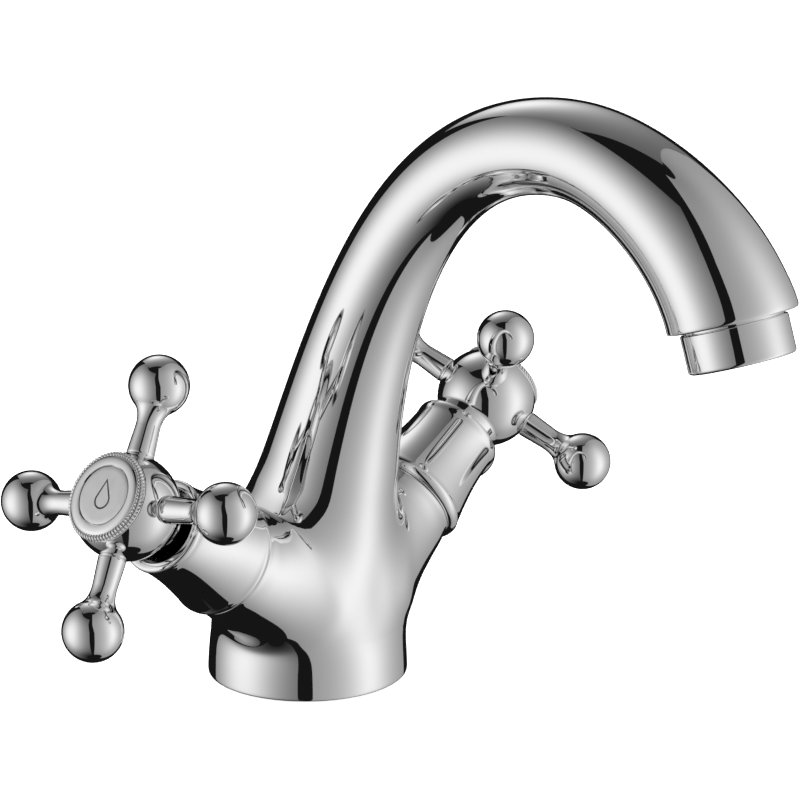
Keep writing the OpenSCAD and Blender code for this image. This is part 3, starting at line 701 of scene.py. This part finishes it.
class TAP_OT_casting(bpy.types.Operator):
    """Models the body casting: foot, trunk, two slanted arms, neck and spout in one smooth skin"""

    bl_idname = "tap.casting"
    bl_label = "Body Casting"

    def execute(self, context):
        sizes = context.scene.tap_casting
        rows = patch_rows(sizes)
        low, top = rows[0][0][0], rows[-1][0][0]
        # From the ceiling of the foot's recess over the foot's edge and up
        recess, groove, groove_top = 20.35, 22.65, 2.1
        skin = first_loop("casting_skin", flat_ring(recess, 19.4))
        bpy.ops.transform.edge_crease(value=1)
        for radius, height in ((recess, groove_top), (groove, groove_top), (groove, 0)):
            next_loop(flat_ring(radius, height), 1)
        for radius, height in ((24.5, 0), (25.05, 0.08), (25.3, 0.5), (25.3, 1.2)):
            next_loop(flat_ring(radius, height))
        next_loop(even_ring(2.2))
        drop = 5.4 - low
        for share, shift in ((0.15, drop), (0.45, 0.6 * drop), (0.8, 0.3 * drop)):
            next_loop(blended_ring(sizes, beside(rows[0], share, shift)))
        # Twelve rings lie below the rows that carry the arms
        first_row = 12
        for row in rows:
            next_loop(blended_ring(sizes, row))
        for share, shift in ((0.75, 4.6), (0.45, 9.2), (0.15, 14)):
            next_loop(blended_ring(sizes, beside(rows[-1], share, shift)))
        start, end, spacing = top + 20, SPOUT_RUN - 4, 6.5
        for run in spread(start, end, round((end - start) / spacing)):
            next_loop(even_ring(run))
        # The rounded end of the spout and the hole that takes the aerator
        for run, grow in ((-1.6, 0), (-0.75, 0), (-0.2, -0.12), (0, -0.6), (0, -1.6)):
            next_loop(even_ring(SPOUT_RUN + run, grow))
        hole = even_ring(SPOUT_RUN, -3.4)
        hole_depth = 9 * MM * mark_at(SPOUT_RUN)[1]
        next_loop(hole, 1)
        next_loop([point - hole_depth for point in hole], 1)
        bpy.ops.mesh.edge_face_add()
        select_where(lambda v: v.index < COLUMNS)
        bpy.ops.mesh.edge_face_add()

        # Each patch opens into its arm
        def in_patch(face):
            rings = [v.index // COLUMNS for v in face.verts]
            columns = [(v.index % COLUMNS + HALF) % COLUMNS for v in face.verts]
            opposite = [(column + OPPOSITE) % COLUMNS for column in columns]
            if len(rings) != 4 or min(rings) < first_row or max(rings) > first_row + 2 * HALF:
                return False
            return min(max(columns), max(opposite)) <= 2 * HALF

        select_where(in_patch, "FACE")
        bpy.ops.mesh.delete(type="FACE")
        # Vertices made from here on come after the others again
        bpy.ops.object.mode_set(mode="OBJECT")
        bpy.ops.object.mode_set(mode="EDIT")
        for sign in (1, -1):
            self.raise_arm(sizes, sign)
        facing_out()
        modified(skin, "SUBSURF", levels=2, render_levels=2)
        self.iron(sizes)
        smooth_by(skin, 40)
        finish(skin, "tap_body", "chrome_plate", "body_casting")
        self.foot_core()
        return {"FINISHED"}

    def iron(self, sizes):
        """Smooths the skin where the arms leave the trunk, most at the middle of the blends."""
        bpy.ops.object.mode_set(mode="EDIT")
        for low, high, out, repeat in IRONING:

            def in_blend(vertex):
                point = Vector((abs(vertex.co.x), vertex.co.y, vertex.co.z)) / MM
                if not low < point.z < high or (point - SEAT).dot(ARM_AXIS) > out:
                    return False
                return depth(sizes, point) > -1.5

            select_where(in_blend)
            # The second half of each stroke gives back the width that the first takes
            for factor in (0.5, -0.53) * repeat:
                bpy.ops.mesh.vertices_smooth(factor=factor)
        bpy.ops.object.mode_set(mode="OBJECT")

    def raise_arm(self, sizes, sign):
        """Extrudes the edge of a patch up to its valve seat and down into the valve's bore."""
        edge = [
            arm_angle(row, column)
            for row in range(2 * HALF + 1)
            for column in range(-HALF, HALF + 1)
            if row in (0, 2 * HALF) or abs(column) == HALF
        ]
        corners = {angle: corner_point(sizes, angle) for angle in edge}

        def flipped(point):
            return MM * Vector((sign * point.x, point.y, point.z))

        def nearest(vertex):
            return min(edge, key=lambda angle: (flipped(corners[angle][0]) - vertex.co).length)

        select_where(lambda v: v.is_boundary and sign * v.co.x > 0)
        mesh = bmesh.from_edit_mesh(bpy.context.object.data)
        order = [nearest(v) for v in chosen_vertices(mesh)]
        if len(set(order)) != 8 * HALF:
            raise RuntimeError(f"the edge of an arm has {len(set(order))} places")
        last = -1.8
        entries = [entry(sizes, angle) for angle in order]
        for share in (0.2, 0.4, 0.6, 0.8, 0.93):
            ring = []
            for angle, start in zip(order, entries):
                out = start + (last - start) * share
                way = (arm_point(sizes, out, angle) - arm_point(sizes, out, angle, 0)).normalized()
                way = corners[angle][1].lerp(way, share).normalized()
                point = settled(sizes, arm_point(sizes, out, angle), way)
                ring.append(flipped(point + (EVEN_SWELL - 1) * sizes.seat_radius / MM * way))
            next_loop(ring)
        seat = sizes.seat_radius / MM
        for out, radius in ((-1.3, seat), (-0.6, seat), (-0.1, seat - 0.18), (0, seat - 0.5)):
            next_loop([flipped(arm_point(sizes, out, angle, radius, EVEN_SWELL)) for angle in order])
        for out, radius in ((0, 11.35), (-2, 11.35), (-2, 9.55), (-18, 9.55)):
            next_loop([flipped(arm_point(sizes, out, angle, radius, EVEN_SWELL)) for angle in order], 1)
        bpy.ops.mesh.edge_face_add()

    def foot_core(self):
        """The underside of the foot, with the holes for the stud and the two hoses."""
        core = turned("foot_core", [(0, 19.2), (20.2, 19.2), (20.3, 19.1), (20.3, 0.3), (20.0, 0), (0, 0)], 64)
        for x, y, radius, top in ((0, 10, 3.4, 18), (-9, -3.5, 4.5, 12), (9, -3.5, 4.5, 12)):
            mouth = radius + 0.5
            profile = [(0, top), (radius, top), (radius, 0.5), (mouth, 0), (mouth, -1), (0, -1)]
            cutter = turned("cutter", profile, 48)
            move_into_place(cutter, Matrix.Translation(MM * Vector((x, y, 0))))
            modified(core, "BOOLEAN", object=cutter, solver="EXACT")
            bpy.data.objects.remove(cutter)
        smooth_by(core, 30)
        finish(core, "tap_body", "chrome_plate", "body_casting", "brass")


class TAP_OT_shrouds(bpy.types.Operator):
    """Turns the bell-shaped shrouds that cover the headworks"""

    bl_idname = "tap.shrouds"
    bl_label = "Shrouds"

    def execute(self, context):
        bell = [(14.64, 3.3), (13.05, 9.9), (11.8, 15.5), (11.66, 22)]
        # The lip, the bell, the rim and the bore over the headwork
        profile = [(12.0, 0.02), (13.6, 0.02), (14.0, 0.12), (14.35, 0.4), (14.65, 0.85), (14.87, 1.35)]
        profile += [(14.97, 1.8), (15.0, 2.15), (14.94, 2.5), (14.8, 2.85)] + [bell[0]] + curve_points(bell, 26)
        profile += [(11.66, 22.6), (11.7, 23.1), (11.78, 23.7), (11.82, 24.2), (11.78, 24.7), (11.6, 25.15)]
        profile += [(11.3, 25.4), (10.9, 25.5), (9.95, 25.5), (9.7, 25.4), (9.6, 25.15)]
        profile += [(9.6, 13.45), (9.1, 13.4), (9.1, 8.95), (12.0, 7.9), (12.0, 0.02)]
        shroud = turned("left_shroud_skin", profile, 128, 32)
        other = copied(shroud, "right_shroud_skin")
        for side, piece in (("left", shroud), ("right", other)):
            move_into_place(piece, on_valve(side))
            finish(piece, "tap_body", "chrome_plate", f"{side}_shroud", "turned_chrome")
        return {"FINISHED"}


class TAP_OT_handles(bpy.types.Operator):
    """Turns the hubs and the arms with their balls"""

    bl_idname = "tap.handles"
    bl_label = "Cross Handles"

    def execute(self, context):
        sizes = context.scene.tap_handles
        radius = sizes.hub_radius / MM
        neck, cap_seat = 8.6, 6.6
        low = math.degrees(math.acos(neck / radius))
        high = math.degrees(math.asin(cap_seat / radius))
        # The turned ball, parted where the cap sits
        profile = [(4.05, -17.4), (8.35, -17.4), (neck, -17.15)]
        profile += [(neck, -radius * math.sin(math.radians(low)) - 0.35)]
        profile += arc((0, 0), radius, -low + 1.5, high, 44)
        profile += [(10.6, 6.62), (8.1, 6.62), (8.1, 4.0), (3.8, 4.0), (3.8, -1.2), (2.2, -1.2), (2.2, -5)]
        profile += [(4.05, -5), (4.05, -17.4)]
        hub = turned("hub", profile, 128, 32)
        arms = self.cross(sizes)
        for side in SIDES:
            for model, name, node in ((hub, "hub_skin", "hub"), (arms, "cross_skin", "cross_arms")):
                piece = copied(model, f"{side}_{name}")
                move_into_place(piece, on_valve(side, HUB_OUT, REST_TURN[side]))
                finish(piece, f"{side}_handle", "chrome_plate", f"{side}_{node}", "turned_chrome")
        only(hub, arms)
        bpy.ops.object.delete()
        return {"FINISHED"}

    def cross(self, sizes):
        """Four arms with balls, around the hub's centre."""
        ball, out = sizes.ball_radius / MM, sizes.ball_out / MM
        root, tip = sizes.arm_radius / MM, sizes.tip_radius / MM
        start = math.sqrt((sizes.hub_radius / MM) ** 2 - root**2)
        # The arm flares into its ball without a crease
        flared = tip + 1.7
        meet = math.acos(flared / ball)
        touch = (flared, out - ball * math.sin(meet))
        before = (touch[0] - 1.6 * math.sin(meet), touch[1] - 1.6 * math.cos(meet))
        flare = [(tip, touch[1] - 5), (tip, touch[1] - 2.7), before, touch]
        profile = [(0, start - 1.2), (root - 0.75, start - 1.2), (root - 0.65, start - 0.25)]
        profile += [(root - 0.1, start + 0.3), (root, start + 0.5), (root, start + 0.9), flare[0]]
        profile += curve_points(flare, 16)
        profile += arc((0, out), ball, -math.degrees(meet), 90, 40)[1:-1] + [(0, out + ball)]
        arm = turned("arm", profile, 64, 32)
        move_into_place(arm, Matrix.Rotation(math.pi / 2, 4, "Y"))
        quarters = [copied(arm, f"arm_{i}") for i in range(3)]
        for i, piece in enumerate(quarters):
            move_into_place(piece, Matrix.Rotation((i + 1) * math.pi / 2, 4, "Z"))
        return joined("cross", arm, *quarters)


class TAP_OT_caps(bpy.types.Operator):
    """Makes the caps: a bezel with a rope of beads, a satin button and the line of a water drop"""

    bl_idname = "tap.caps"
    bl_label = "Caps"

    def execute(self, context):
        for side in SIDES:
            beads = context.scene.tap_handles.bead_count
            for piece, slot, node, look in (
                (self.bezel(side, beads), "chrome_plate", "cap_bezel", "turned_chrome"),
                (self.button(side), "satin_chrome", "cap_button", "satin_chrome"),
                (self.drop(side), "satin_chrome", "cap_button", "dark_line"),
            ):
                move_into_place(piece, on_valve(side, HUB_OUT, REST_TURN[side]))
                finish(piece, f"{side}_handle", slot, f"{side}_{node}", look)
        return {"FINISHED"}

    def bezel(self, side, count):
        """The stepped ring of a cap, with a rope of so many beads on its step."""
        profile = [(3.8, 4.05), (8.0, 4.05), (8.0, 6.64), (10.75, 6.64), (11.0, 6.8), (11.0, 6.98)]
        profile += [(10.85, 7.1), (10.4, 7.15), (10.05, 7.5), (9.85, 8.05), (9.85, 8.3), (9.75, 8.5)]
        profile += [(9.45, 8.68), (8.9, 8.78), (7.75, 8.82), (7.55, 8.78), (7.4, 8.6), (7.4, 7.8)]
        profile += [(3.8, 7.8), (3.8, 4.05)]
        ring = turned(f"{side}_bezel_skin", profile, 128, 32)
        # One slanted bead of the rope, spun around
        rope_radius, rope_height = 10.42, 7.62
        fresh()
        bpy.ops.mesh.primitive_uv_sphere_add(segments=10, ring_count=8, radius=1)
        bead = bpy.context.object
        spacing = 2 * math.pi * rope_radius / count
        shape = Matrix.Diagonal((0.72, 0.52 * spacing, 0.95, 1))
        slant = Matrix.Rotation(math.radians(-42), 4, "Y") @ Matrix.Rotation(math.radians(32), 4, "X")
        place = Matrix.Translation((rope_radius, 0, rope_height))
        move_into_place(bead, Matrix.Scale(MM, 4) @ place @ slant @ shape)
        edit_all()
        turn = 2 * math.pi * (count - 1) / count
        bpy.ops.mesh.spin(steps=count - 1, dupli=True, angle=turn, center=(0, 0, 0), axis=(0, 0, 1))
        facing_out()
        smooth_by(bead, 60)
        return joined(f"{side}_bezel_skin", ring, bead)

    def button(self, side):
        """The flat button inside the bezel."""
        profile = [(0, 7.82), (7.1, 7.82), (7.22, 7.95), (7.22, 8.5), (7.12, 8.62), (6.9, 8.68), (6.0, 8.7)]
        profile += [(0, 8.7)]
        return turned(f"{side}_button_skin", profile, 96, 25)

    def drop(self, side):
        """A drop's outline, drawn from the same circle and point as the engraved one."""
        outer, inner = self.outline(2.3, 4.1), self.outline(1.85, 3.35)
        top, low = 8.715, 8.55
        piece = first_loop(f"{side}_drop_skin", [MM * Vector((x, y, low)) for x, y in outer])
        for line, height in ((outer, top), (inner, top), (inner, low), (outer, low)):
            next_loop([MM * Vector((x, y, height)) for x, y in line])
        facing_out()
        smooth_by(piece, 25)
        return piece

    def outline(self, radius, tip):
        """Points of a drop: most of a circle, closed by two straight lines to its tip."""
        middle = -1.2
        opening = math.acos(radius / (tip - middle))
        angles = spread(opening, 2 * math.pi - opening, 36)
        return [(middle + radius * math.cos(a), radius * math.sin(a)) for a in angles] + [(tip, 0)]


class TAP_OT_aerator(bpy.types.Operator):
    """Turns the aerator's sleeve under the spout's end"""

    bl_idname = "tap.aerator"
    bl_label = "Aerator"

    def execute(self, context):
        profile = [(10.35, 0.35), (11.2, 0.35), (11.2, 0.5), (11.6, 0.55), (12.05, 0.62), (12.25, 0.82)]
        profile += [(12.3, 1.1), (12.3, 8.7)] + arc((11.5, 8.8), 0.8, 0, 90, 8) + [(10.6, 9.6), (10.2, 9.45)]
        profile += [(9.8, 9.0), (9.5, 8.42), (10.35, 8.4), (10.35, 0.35)]
        sleeve = turned("aerator_sleeve_skin", profile, 128, 32)
        threaded = [(10.42, -6.9), (11.5, -6.9), (11.5, 0.5), (10.42, 0.5), (10.42, -6.9)]
        sleeve = joined("aerator_sleeve_skin", sleeve, turned("aerator_thread", threaded, 96, 32))
        move_into_place(sleeve, on_outlet())
        finish(sleeve, "tap_body", "chrome_plate", "aerator_sleeve", "turned_chrome")
        return {"FINISHED"}


class TAP_OT_inner_pieces(bpy.types.Operator):
    """Gives the carried-over pieces their materials"""

    bl_idname = "tap.inner_pieces"
    bl_label = "Inner Pieces"

    def execute(self, context):
        slots = {part["node"]: part["material_slot"] for part in frame["record"]["subparts"]}
        for name, node in frame["nodes"].items():
            # The headworks' brass is nickelled, and so looks like steel
            material = finish_of("steel" if name.endswith("_headwork") else slots[name])
            if not node.data.materials:
                node.data.materials.append(material)
            for i in range(len(node.data.materials)):
                node.data.materials[i] = material
        return {"FINISHED"}


# The stage


class StudioSizes(bpy.types.PropertyGroup):
    """The light tent"""

    wall_distance: FloatProperty(
        name="Walls", description="Distance of the light walls", default=0.9, unit="LENGTH"
    )
    wall_light: FloatProperty(
        name="Wall light", description="Brightness of the light walls at their middle", default=0.97
    )
    roof_light: FloatProperty(
        name="Roof light", description="Brightness of the light behind and above", default=0.97
    )
    floor_light: FloatProperty(
        name="Floor", description="Share of the floor's white that no shadow darkens", default=0.72
    )


TENT_MIDDLE = Vector((0, 0, 0.06))


def towards(azimuth, elevation=0.0):
    """A direction; azimuth 0 is -Y, and it grows towards +X."""
    a, e = math.radians(azimuth), math.radians(elevation)
    return Vector((math.sin(a) * math.cos(e), -math.cos(a) * math.cos(e), math.sin(e)))


def slot_shift(elevation):
    """Degrees by which the dark slot between the walls stands aside at one elevation."""
    furthest, low, high = 7, 10, 40
    return furthest * min(1, max(0, (high - elevation) / (high - low)))


def wall(name, outer, inner, low, high, distance, material, drawn):
    """A curved wall around the tap, between two azimuths and two elevations in degrees.

    Its inner edge, beside the slot, is drawn out by two angles, one at the bottom and one at the top.
    """
    left, right = sorted((outer, inner))
    bottom, top = (TENT_MIDDLE.z + distance * math.tan(math.radians(x)) for x in (low, high))
    fresh()
    bpy.ops.mesh.primitive_cylinder_add(
        vertices=360,
        radius=distance,
        depth=top - bottom,
        end_fill_type="NOTHING",
        location=(0, 0, (top + bottom) / 2),
    )
    piece = bpy.context.object
    piece.name = name
    bpy.ops.object.transform_apply(location=True, rotation=True, scale=True)
    bpy.ops.object.mode_set(mode="EDIT")

    def left_out(face):
        middle = face.calc_center_median()
        azimuth = math.degrees(math.atan2(middle.x, -middle.y))
        return (azimuth - left) % 360 > right - left

    select_where(left_out, "FACE")
    bpy.ops.mesh.delete(type="FACE")
    for height, degrees in ((bottom, drawn[0]), (top, drawn[1])):

        def corner(point):
            azimuth = math.degrees(math.atan2(point.co.x, -point.co.y))
            return abs(point.co.z - height) < 0.001 and abs(azimuth - inner) < 0.4

        select_where(corner)
        # With no window the operator turns the other way
        bpy.ops.transform.rotate(value=-math.radians(degrees), orient_axis="Z", center_override=(0, 0, 0))
    reflected_only(piece, material)


def roof(name, azimuth, elevation, distance, aside, width, height, flare, material):
    """A flat panel above, square to one way and moved aside from it, with one low corner drawn out."""
    way, sideways = towards(azimuth, elevation), towards(azimuth + 90)
    place = TENT_MIDDLE + way * distance + sideways * aside
    fresh()
    bpy.ops.mesh.primitive_plane_add(size=1, location=place, rotation=way.to_track_quat("Z", "Y").to_euler())
    piece = bpy.context.object
    piece.name = name
    piece.scale = (width, height, 1)
    bpy.ops.object.transform_apply(location=True, rotation=True, scale=True)
    bpy.ops.object.mode_set(mode="EDIT")
    select_where(lambda v: v.co.z < place.z and (v.co - place).dot(sideways) < 0)
    bpy.ops.transform.translate(value=-sideways * flare)
    reflected_only(piece, material)


def reflected_only(piece, material):
    """Makes a piece studio gear that the metal mirrors and nothing else sees."""
    fresh()
    piece.data.materials.append(material)
    for kind in ("camera", "diffuse", "shadow", "transmission", "volume_scatter"):
        setattr(piece, f"visible_{kind}", False)


def panel_light(name, peak, strength, base, reach, upright, power):
    """Light that is strongest at one point and fades softly around it to a share of its strength.

    At a distance r, in reaches, it is base + (1 - base) / (1 + r ** power) times the strength.
    """
    material, tree = new_material(name)
    tree.nodes.remove(tree.nodes["Principled BSDF"])
    where = add(tree, "ShaderNodeTexCoord")
    kinds = ("SUBTRACT", "MULTIPLY", "LENGTH")
    off, squeezed, away = (add(tree, "ShaderNodeVectorMath", kind) for kind in kinds)
    off.inputs[1].default_value = peak
    squeezed.inputs[1].default_value = (1 / reach, 1 / reach, upright / reach)
    wire(tree, (where, "Object", off, 0), (off, "Vector", squeezed, 0), (squeezed, "Vector", away, 0))
    last, output = away, "Value"
    for operation, first, second in (
        ("POWER", None, power),
        ("ADD", None, 1),
        ("DIVIDE", (1 - base) * strength, None),
        ("ADD", None, base * strength),
    ):
        step = add(tree, "ShaderNodeMath", operation)
        for i, value in enumerate((first, second)):
            if value is None:
                wire(tree, (last, output, step, i))
            else:
                step.inputs[i].default_value = value
        last, output = step, 0
    light = add(tree, "ShaderNodeEmission")
    wire(tree, (last, 0, light, "Strength"), (light, 0, tree.nodes["Material Output"], "Surface"))
    return material


def matt(name, grey, roughness, glow):
    """A matt grey of the studio that glows a little."""
    material, tree = new_material(name)
    for socket, value in (
        ("Base Color", (grey, grey, grey, 1)),
        ("Roughness", roughness),
        ("Specular IOR Level", 0),
        ("Emission Color", (1, 1, 1, 1)),
        ("Emission Strength", glow),
    ):
        tree.nodes["Principled BSDF"].inputs[socket].default_value = value
    return material


class TAP_OT_stage(bpy.types.Operator):
    """Sets up the white floor, the light walls, the lamps and the camera"""

    bl_idname = "tap.stage"
    bl_label = "Stage"

    def execute(self, context):
        studio = context.scene.tap_studio
        self.floor(studio)
        self.tent(studio)
        self.world()
        self.lamps()
        self.camera(context)
        context.scene.view_settings.view_transform = "Standard"
        return {"FINISHED"}

    def floor(self, studio):
        """A white floor just under the foot, which the metal doesn't mirror."""
        fresh()
        bpy.ops.mesh.primitive_plane_add(size=14, location=(0, 0, -0.0002))
        floor = bpy.context.object
        floor.name = "floor"
        floor.data.materials.append(matt("White floor", 0.8, 0.9, studio.floor_light))
        floor.visible_glossy = False
        floor.visible_diffuse = False

    def tent(self, studio):
        """Two walls with a dark slot between them and a panel above, in a black room."""
        d, light = studio.wall_distance, studio.wall_light
        left_peak = TENT_MIDDLE + d * (towards(-126) - Vector((0, 0, 0.1)))
        right_peak = TENT_MIDDLE + d * (towards(28) - Vector((0, 0, 0.14)))
        left = panel_light("Left wall light", left_peak, light, 0, 0.65 * d, 0.8, 2.5)
        right = panel_light("Right wall light", right_peak, light, 0.225, 0.52 * d, 0.5, 2)
        # Above these steps the slot reaches from azimuth -65.5 to -48.5, and over them it leans
        steps = [10, 17, 25, 33, 40]
        for name, outer, inner, bottom, top, more, material in (
            ("left_wall", -178, -66, -77, 58, 0.5, left),
            ("right_wall", 98, -41, -74, 81, -7.5, right),
        ):
            for low, high in zip([bottom] + steps, steps + [top]):
                drawn = [slot_shift(low) + more, slot_shift(high) + more]
                wall(f"{name}_{high}", outer, inner, low, high, d, material, drawn)
        roof_peak = TENT_MIDDLE + towards(145, 38) * 1.09 * d
        over = panel_light("Roof light", roof_peak, studio.roof_light, 0.07, 0.3 * d, 0.4, 2.5)
        roof("roof_panel", 130, 59, d, 0.24 * d, 0.86 * d, 1.32 * d, 0.46 * d, over)
        fresh()
        bpy.ops.mesh.primitive_cube_add(size=12, location=(0, 0, 0))
        room = bpy.context.object
        room.name = "black_room"
        reflected_only(room, matt("Black cloth", 0.004, 1, 0.006))

    def world(self):
        """White as the camera sees it and softer as it lights the tap; the room hides it from the metal."""
        world = bpy.data.worlds.new("White surroundings")
        bpy.context.scene.world = world
        world.use_nodes = True
        tree = world.node_tree
        white, soft = tree.nodes["Background"], add(tree, "ShaderNodeBackground")
        for background, strength in ((white, 1), (soft, 0.55)):
            background.inputs["Color"].default_value = (1, 1, 1, 1)
            background.inputs["Strength"].default_value = strength
        path, mix = add(tree, "ShaderNodeLightPath"), add(tree, "ShaderNodeMixShader")
        first, second = (add(tree, "ShaderNodeMath", "MAXIMUM") for _ in range(2))
        wire(tree, (path, "Is Camera Ray", first, 0), (path, "Is Glossy Ray", first, 1))
        wire(tree, (first, 0, second, 0), (path, "Is Transmission Ray", second, 1))
        wire(tree, (second, 0, mix, "Fac"), (soft, 0, mix, 1), (white, 0, mix, 2))
        wire(tree, (mix, 0, tree.nodes["World Output"], "Surface"))

    def lamps(self):
        """Three lamps on the tap and the floor, at one distance, which the metal doesn't mirror."""
        middle, distance = Vector((0, -0.03, 0.06)), 0.9
        for name, azimuth, elevation, size, power in (
            ("left_lamp", -120, 35, 0.7, 7),
            ("right_lamp", 35, 35, 0.7, 7),
            ("roof_lamp", 143, 65, 0.6, 4),
        ):
            way = towards(azimuth, elevation)
            bpy.ops.object.light_add(type="AREA", location=middle + way * distance)
            lamp = bpy.context.object
            lamp.name = name
            lamp.data.shape = "DISK"
            lamp.data.size = size
            lamp.data.energy = power
            lamp.rotation_euler = way.to_track_quat("Z", "Y").to_euler()
            lamp.visible_glossy = False

    def camera(self, context):
        """The camera as it was solved from the handles' balls and rings, in millimetres and pixels."""
        azimuth, elevation, distance = -48.583, 15.257, 848.02
        height, aside = 70.633, 23.461
        focal_length, photo_width, sensor = 3405.4, 800, 36
        back = towards(azimuth, elevation)
        place = MM * (Vector((0, 0, height)) + towards(azimuth + 90) * aside + back * distance)
        bpy.ops.object.camera_add(location=place)
        camera = bpy.context.object
        camera.name = "camera"
        camera.rotation_euler = back.to_track_quat("Z", "Y").to_euler()
        camera.data.lens = sensor * focal_length / photo_width
        camera.data.sensor_width = sensor
        camera.data.clip_start = 0.01
        camera.data.clip_end = 100
        context.scene.camera = camera


class TAP_PT_panel(bpy.types.Panel):
    """Lists the tap's pieces and its stage"""

    bl_idname = "TAP_PT_panel"
    bl_label = "Basin Mixer Tap"
    bl_space_type = "VIEW_3D"
    bl_region_type = "UI"
    bl_category = "Tap"

    def draw(self, context):
        for operator in OPERATORS:
            self.layout.operator(operator.bl_idname)


OPERATORS = (
    TAP_OT_casting,
    TAP_OT_shrouds,
    TAP_OT_handles,
    TAP_OT_caps,
    TAP_OT_aerator,
    TAP_OT_inner_pieces,
    TAP_OT_stage,
)
GROUPS = {
    "tap_casting": CastingSizes,
    "tap_handles": HandleSizes,
    "tap_finish": TapFinish,
    "tap_studio": StudioSizes,
}


def register():
    for group in GROUPS.values():
        bpy.utils.register_class(group)
    for name, group in GROUPS.items():
        setattr(bpy.types.Scene, name, PointerProperty(type=group))
    for operator in OPERATORS:
        bpy.utils.register_class(operator)
    bpy.utils.register_class(TAP_PT_panel)


def unregister():
    bpy.utils.unregister_class(TAP_PT_panel)
    for operator in reversed(OPERATORS):
        bpy.utils.unregister_class(operator)
    for name, group in GROUPS.items():
        delattr(bpy.types.Scene, name)
        bpy.utils.unregister_class(group)


def main():
    register()
    bpy.ops.tap.casting()
    bpy.ops.tap.shrouds()
    bpy.ops.tap.handles()
    bpy.ops.tap.caps()
    bpy.ops.tap.aerator()
    bpy.ops.tap.inner_pieces()
    bpy.ops.tap.stage()


if __name__ == "__main__":
    main()
